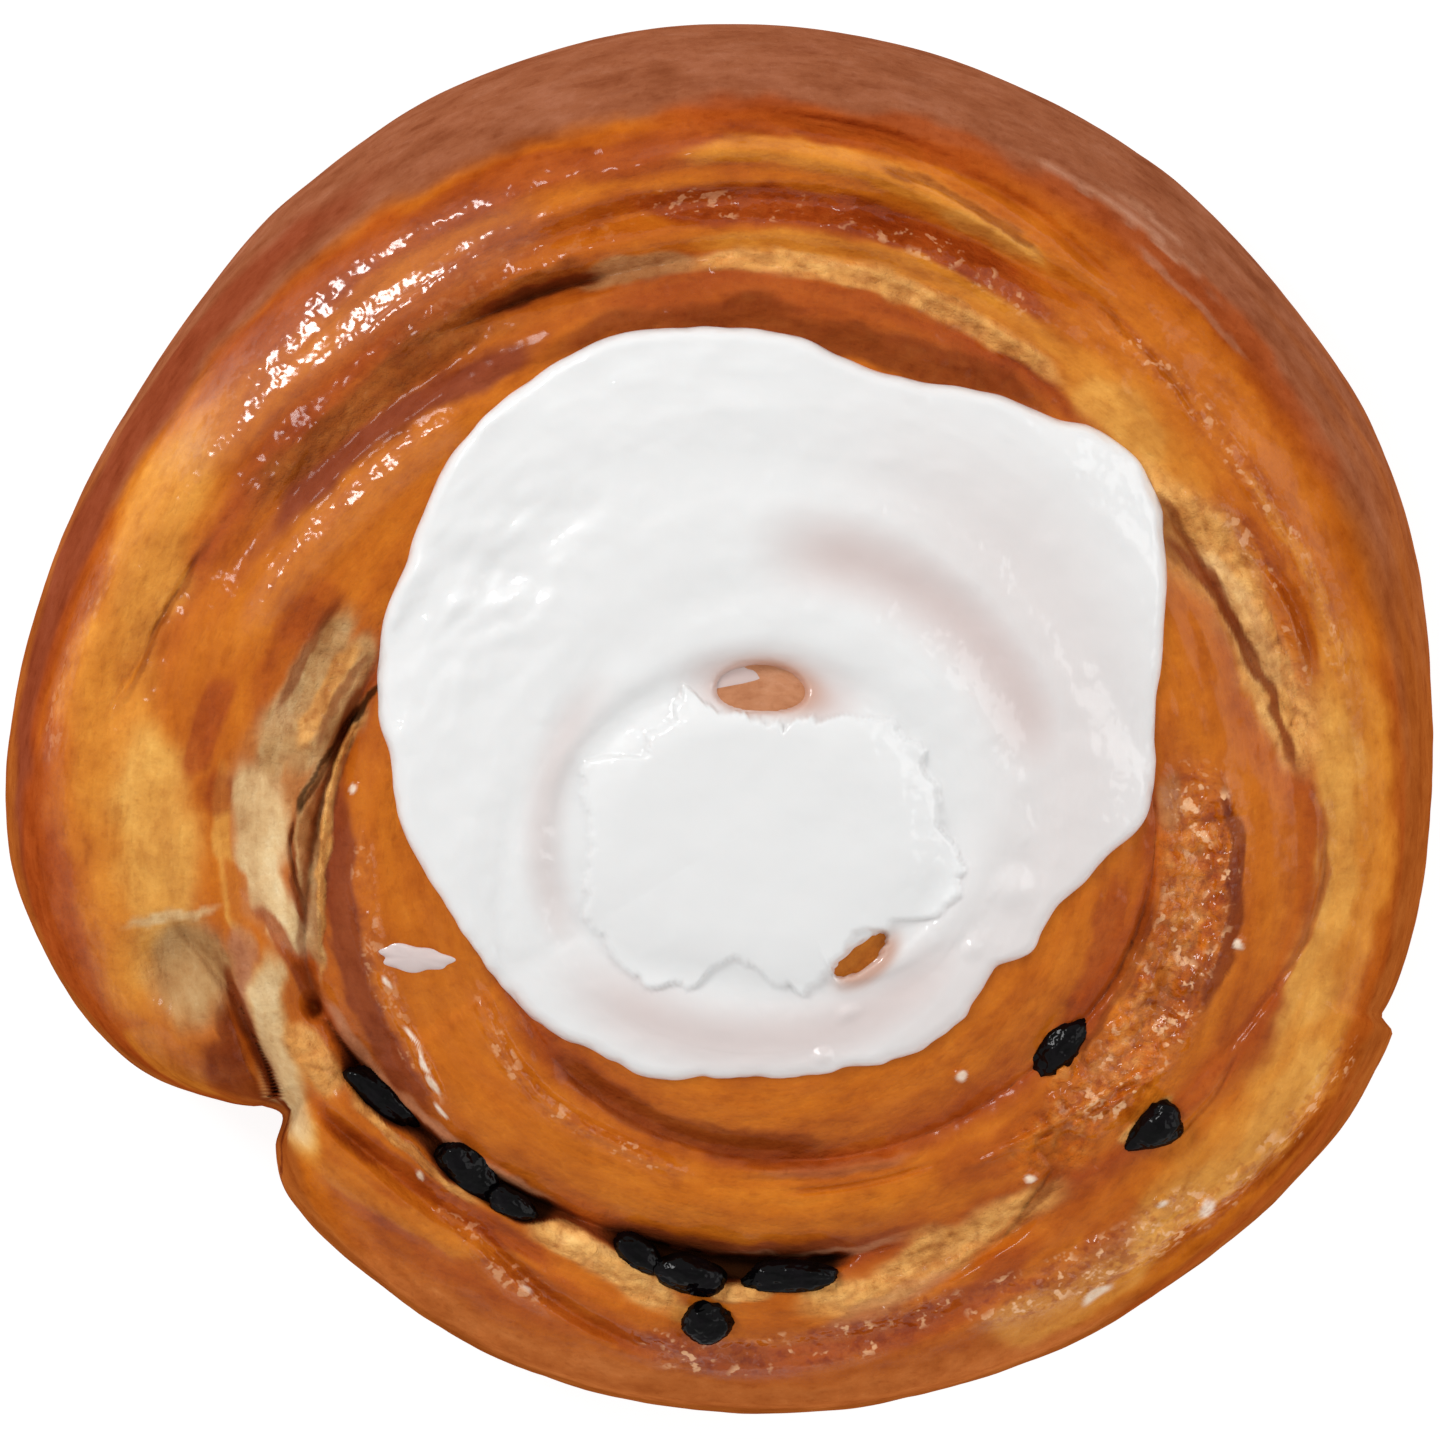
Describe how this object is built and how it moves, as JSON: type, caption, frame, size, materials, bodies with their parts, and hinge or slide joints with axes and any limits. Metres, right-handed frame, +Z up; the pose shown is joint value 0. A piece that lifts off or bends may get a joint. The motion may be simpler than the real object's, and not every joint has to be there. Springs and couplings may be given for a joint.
{
  "type": "chelsea bun",
  "caption": "Round coiled sweet bun with a domed spiral top, a flat base, currants in its seams and a thin sheet of white icing over the middle.",
  "frame": {"origin": "centre of the bounding box in plan, on the surface that the bun rests on", "axes": "+Z up, +X to the right and +Y away, as the bun is seen from above with the tail of its coil at the lower left"},
  "size_m": [0.1196, 0.1178, 0.0339],
  "materials": {
    "glazed_dough": "golden brown baked dough, thinly glazed",
    "icing": "smooth white sugar icing",
    "currant": "dark wrinkled fruit, slightly shiny"
  },
  "bodies": {
    "root": {"dough": "glazed_dough", "icing": "icing", "icing_smear": "icing", "currant_1": "currant", "currant_2": "currant", "currant_3": "currant", "currant_4": "currant", "currant_5": "currant", "currant_6": "currant", "currant_7": "currant", "currant_8": "currant", "currant_9": "currant"}
  },
  "joints": []
}
